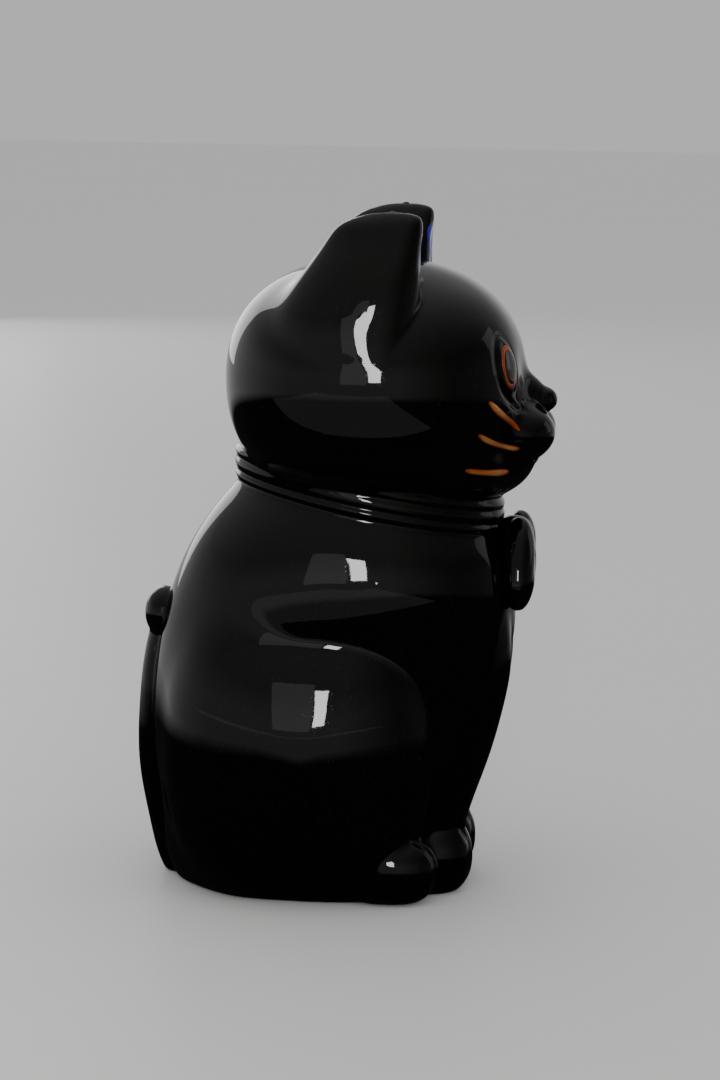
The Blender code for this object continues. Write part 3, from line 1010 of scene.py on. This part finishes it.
class KITTEN_OT_head(bpy.types.Operator):
    """Head casting: skull, ears, muzzle, nose and chin"""

    bl_idname = "kitten.head"
    bl_label = "Head casting"

    def execute(self, context):
        sizes, colours, _ = settings()
        piece = cast(
            "head_casting",
            lambda points: whole_form(points, sizes.crease),
            (-0.0480, -0.0580, SEAM_Z - 0.0150),
            (0.0480, 0.0400, EAR_TIP + 0.0030),
            cell_of(sizes.head_cell),
            keep_above=True,
            fine=fine_on_head,
        )
        glaze = shared("black_glaze", black_glaze, tuple(colours.glaze))
        finished(piece, glaze, "black_glaze", "head_shell", "ear_left", "ear_right", "nose_pad")
        return {"FINISHED"}


class KITTEN_OT_bow(bpy.types.Operator):
    """Bow on the chest, pressed as one sprig"""

    bl_idname = "kitten.bow"
    bl_label = "Bow"

    def execute(self, context):
        sizes, colours, _ = settings()
        low, high = (-0.024, -0.056, 0.068), (0.024, -0.036, 0.103)
        piece = cast("chest_bow", bow_form, low, high, cell_of(sizes.bow_cell))
        glaze = shared("black_glaze", black_glaze, tuple(colours.glaze))
        finished(piece, glaze, "black_glaze", "bow_knot", "bow_loop_left", "bow_loop_right")
        return {"FINISHED"}


class KITTEN_OT_eyes(bpy.types.Operator):
    """Gold irises and black pupils"""

    bl_idname = "kitten.eyes"
    bl_label = "Eyes"

    def execute(self, context):
        sizes, colours, _ = settings()
        gold = shared("gold_lustre", gold_lustre, tuple(colours.gold), tuple(colours.copper_and_painted_reflection))
        black = shared("pupil_enamel", enamel, "pupil_enamel", (0.006, 0.006, 0.007), 0.03)

        def face(points):
            return head_form(points, sizes.crease)

        half_width, half_height, in_front = 0.0038, 0.0054, -0.056
        shares = np.concatenate([[0.02], np.linspace(0.1, 1, 16)])
        turns = np.linspace(0, 2 * math.pi, 64, endpoint=False)
        dome = np.sqrt(np.maximum(1 - shares**4, 0))
        for label, side in SIDES:
            for name, part, outer, rise, material, slot in (
                ("gold_iris", "eye_iris", 1.0, 0.00022, gold, "gold_lustre"),
                ("black_pupil", "eye_pupil", 0.86, 0.00042, black, "pupil_enamel"),
            ):
                across = half_width * outer * np.outer(shares, np.cos(turns)) + side * EYE_X
                up = half_height * outer * np.outer(shares, np.sin(turns)) + EYE_Z
                places = np.stack([across, 0 * up + in_front, up], axis=-1)
                heights = np.repeat((rise * dome)[:, None], len(turns), axis=1)
                piece = lay(f"{name}_{label}", face, places, (0, 1, 0), heights, wrapped=True)
                finished(piece, material, slot, f"{part}_{label}")
        return {"FINISHED"}


class KITTEN_OT_whiskers(bpy.types.Operator):
    """Six gold brush strokes on the cheeks"""

    bl_idname = "kitten.whiskers"
    bl_label = "Whiskers"

    def execute(self, context):
        sizes, colours, _ = settings()
        gold = shared("gold_lustre", gold_lustre, tuple(colours.gold), tuple(colours.copper_and_painted_reflection))
        shares = 0.5 - 0.5 * np.cos(np.linspace(0, math.pi, 41))
        across = np.linspace(-1, 1, 9)
        for label, side in SIDES:
            for i, (start, end, sag) in enumerate(WHISKERS, 1):
                start, end = np.array(start) * MM, np.array(end) * MM
                middle = start + shares[:, None] * (end - start)
                middle[:, 1] -= 4 * sag * MM * shares * (1 - shares)
                along = (end - start) / np.linalg.norm(end - start)
                aside = np.array([-along[1], along[0]])
                rounded = np.maximum(1 - (2 * shares - 1) ** 4, 0.0004) ** 0.5
                width = sizes.whisker_width * (0.46 + 0.06 * i) * rounded
                width = width * (0.86 + 0.14 * np.sin(5 * shares + i))
                flat = middle[:, None, :] + aside * (width[:, None] * across)[:, :, None]
                places = np.concatenate([np.full((*flat.shape[:2], 1), side * 0.048), flat], axis=2)
                full = np.sqrt(np.maximum(1 - across**2, 0))[None, :] * (width / width.max())[:, None]
                piece = lay(
                    f"gold_whisker_{label}_{i}", lambda points: head_form(points, sizes.crease),
                    places, (-side, 0, 0), sizes.enamel * full,
                )
                finished(piece, gold, "gold_lustre", f"whisker_{label}_{i}")
        return {"FINISHED"}


class KITTEN_OT_ears(bpy.types.Operator):
    """Cobalt enamel in the hollow of each ear"""

    bl_idname = "kitten.ears"
    bl_label = "Ear enamel"

    def execute(self, context):
        sizes, colours, _ = settings()
        blue = shared("cobalt_enamel", enamel, "cobalt_enamel", tuple(colours.cobalt), 0.06)
        turns = np.linspace(0, 2 * math.pi, 64, endpoint=False)
        shares = np.concatenate([[0.02], np.linspace(0.08, 1, 18)])
        for label, side in SIDES:
            across = side * (0.0281 + 0.0047 * np.outer(shares, np.cos(turns)))
            up = 0.1662 + 0.0066 * np.outer(shares, np.sin(turns))
            places = np.stack([across, 0 * up - 0.034, up], axis=-1)
            dome = sizes.enamel * np.sqrt(np.maximum(1 - shares**4, 0))
            heights = np.repeat(dome[:, None], len(turns), axis=1)
            piece = lay(
                f"blue_ear_{label}", lambda points: head_form(points, sizes.crease),
                places, (0, 1, 0), heights, wrapped=True,
            )
            finished(piece, blue, "cobalt_enamel", f"inner_ear_{label}")
        return {"FINISHED"}


class KITTEN_OT_mouth(bpy.types.Operator):
    """Pink enamel in the line of the mouth"""

    bl_idname = "kitten.mouth"
    bl_label = "Mouth"

    def execute(self, context):
        sizes, colours, _ = settings()
        pink = shared("pink_enamel", enamel, "pink_enamel", tuple(colours.pink), 0.12)
        shares = np.linspace(-1, 1, 41)
        across = np.linspace(-1, 1, 9)
        width = 0.0011 * np.maximum(1 - np.abs(shares) ** 3, 0.0004) ** 0.5
        x = 0.0046 * shares[:, None] + 0 * across
        z = 0.1132 + 0.0006 * shares[:, None] ** 2 + width[:, None] * across
        places = np.stack([x, 0 * x - 0.058, z], axis=-1)
        dome = sizes.enamel * np.sqrt(np.maximum(1 - across**2, 0))
        heights = dome[None, :] * (width / width.max())[:, None]
        piece = lay(
            "pink_mouth", lambda points: head_form(points, sizes.crease), places, (0, 1, 0), heights
        )
        finished(piece, pink, "pink_enamel", "mouth_stroke")
        return {"FINISHED"}


class KITTEN_OT_foot(bpy.types.Operator):
    """Unglazed clay under the body, with its vent"""

    bl_idname = "kitten.foot"
    bl_label = "Clay foot"

    def execute(self, context):
        sizes, colours, _ = settings()
        clay = shared("bare_clay", bare_clay, tuple(colours.clay))
        low, high, cell = (-0.036, -0.030, -0.002), (0.036, 0.048, 0.006), 0.0007
        piece = cast("clay_foot", foot_form, low, high, cell_of(cell))
        finished(piece, clay, "red_clay", "foot_plate")
        return {"FINISHED"}


def sun_angle(azimuth, elevation):
    """The direction from the kitten towards an azimuth and elevation."""
    level = math.cos(elevation)
    return Vector((math.sin(azimuth) * level, -math.cos(azimuth) * level, math.sin(elevation)))


def softbox(name, place, aim, width, height, power, shown=True):
    """A lit rectangle that faces aim. shown says whether the glaze mirrors it."""
    light = bpy.data.lights.new(name, "AREA")
    light.shape, light.size, light.size_y = "RECTANGLE", width, height
    light.energy = power
    lamp = bpy.data.objects.new(name, light)
    lamp.location = place
    lamp.rotation_euler = (Vector(aim) - Vector(place)).to_track_quat("-Z", "Y").to_euler()
    lamp.visible_camera = False
    lamp.visible_glossy = shown
    bpy.context.scene.collection.objects.link(lamp)
    return lamp


class KITTEN_OT_stage(bpy.types.Operator):
    """Pale floor, soft lights and the camera"""

    bl_idname = "kitten.stage"
    bl_label = "Studio"

    def execute(self, context):
        _, colours, studio = settings()
        floor = new_piece("floor", [(-9, -9, 0), (9, -9, 0), (9, 9, 0), (-9, 9, 0)], [(0, 1, 2, 3)])
        floor.data.materials.append(floor_finish(tuple(colours.floor)))
        floor.visible_glossy = False

        world = bpy.data.worlds.new("studio_air")
        context.scene.world = world
        air = Finish(world)
        mirrored = air.add("ShaderNodeLightPath", {}, {}, "Is Glossy Ray")
        seen = air.add("ShaderNodeLightPath", {}, {}, "Is Camera Ray")
        direction = air.add("ShaderNodeTexCoord", {}, {}, "Generated")
        up = air.add("ShaderNodeSeparateXYZ", {}, {"Vector": direction}, "Z")
        across = air.add("ShaderNodeSeparateXYZ", {}, {"Vector": direction}, "X")
        wall = air.ramp(
            up * 0.5 + 0.5, (0.40, 0.006), (0.43, 0.38), (0.55, 0.42), (0.68, 0.26), (1.0, 0.34)
        )
        far_side = air.ramp(across * 0.5 + 0.5, (0.25, 0.0), (0.62, 1.0))
        sky = air.mix(far_side * 0.5, wall, air.mix(wall, (0.008, 0.008, 0.008), (1.9, 1.9, 1.9)))
        along = air.add("ShaderNodeSeparateXYZ", {}, {"Vector": direction}, "Y")
        sky = air.mix(air.ramp(along * 0.5 + 0.5, (0.05, 0.8), (0.36, 0.0)), sky, (0.01, 0.01, 0.01))
        shade = air.mix(mirrored, air.mix(seen, (0.88, 0.88, 0.89), (0.54, 0.54, 0.55)), sky)
        background = air.add("ShaderNodeBackground", {}, {"Color": shade, "Strength": 1.0})
        air.add("ShaderNodeOutputWorld", {}, {"Surface": background})

        aim = Vector((0.0, 0.0, 0.09))
        softbox("window_light", (-1.30, -0.06, 0.36), aim, 0.15, 0.42, studio.key * 0.6)
        softbox("curtain_light", (-1.29, 0.19, 0.38), aim, 0.32, 0.56, studio.key * 0.035)
        card = Vector((-0.405, 0.165, 0.045))
        softbox("bounce_card", card, card + Vector((0, 0, 1)), 0.57, 0.57, studio.top * 0.09)
        softbox("overhead_light", (-0.15, 0.15, 1.5), aim, 1.3, 1.3, studio.top, shown=False)
        softbox("rear_panel", (1.5, 0.75, 0.55), aim, 0.9, 1.0, studio.rim)
        softbox("front_panel", (0.9, -1.6, 0.6), aim, 0.6, 0.9, studio.rim * 0.12)

        lens = bpy.data.cameras.new("studio_camera")
        lens.lens, lens.sensor_width, lens.clip_start = 100, 36, 0.01
        lens.dof.use_dof = False
        camera = bpy.data.objects.new("studio_camera", lens)
        towards = sun_angle(studio.azimuth, studio.elevation)
        centre = Vector((0.0011, -0.0038, 0.0903))
        forward = -towards
        right = forward.cross(Vector((0, 0, 1))).normalized()
        up_axis = right.cross(forward)
        leaned_right = math.cos(studio.roll) * right + math.sin(studio.roll) * up_axis
        leaned_up = -math.sin(studio.roll) * right + math.cos(studio.roll) * up_axis
        camera.matrix_world = Matrix.Translation(centre + towards * studio.distance) @ Matrix(
            (leaned_right, leaned_up, towards)
        ).transposed().to_4x4()
        context.scene.collection.objects.link(camera)
        context.scene.camera = camera
        return {"FINISHED"}


STEPS = (
    KITTEN_OT_body,
    KITTEN_OT_head,
    KITTEN_OT_bow,
    KITTEN_OT_eyes,
    KITTEN_OT_whiskers,
    KITTEN_OT_ears,
    KITTEN_OT_mouth,
    KITTEN_OT_foot,
    KITTEN_OT_stage,
)


class KITTEN_PT_panel(bpy.types.Panel):
    """Lists the kitten's pieces in the order that they are made"""

    bl_label = "Ceramic kitten"
    bl_idname = "KITTEN_PT_panel"
    bl_space_type = "VIEW_3D"
    bl_region_type = "UI"
    bl_category = "Kitten"

    def draw(self, context):
        layout = self.layout
        for group in settings():
            box = layout.box()
            for name in group.bl_rna.properties.keys():
                if name not in ("rna_type", "name"):
                    box.prop(group, name)
        for step in STEPS:
            layout.operator(step.bl_idname)


CLASSES = (KittenSizes, KittenColours, KittenStudio, *STEPS, KITTEN_PT_panel)


def register():
    for cls in CLASSES:
        bpy.utils.register_class(cls)
    bpy.types.Scene.kitten_sizes = bpy.props.PointerProperty(type=KittenSizes)
    bpy.types.Scene.kitten_colours = bpy.props.PointerProperty(type=KittenColours)
    bpy.types.Scene.kitten_studio = bpy.props.PointerProperty(type=KittenStudio)


def unregister():
    for name in ("kitten_sizes", "kitten_colours", "kitten_studio"):
        delattr(bpy.types.Scene, name)
    for cls in reversed(CLASSES):
        bpy.utils.unregister_class(cls)


def main():
    register()
    for step in STEPS:
        group, name = step.bl_idname.split(".")
        getattr(getattr(bpy.ops, group), name)()


if __name__ == "__main__":
    main()
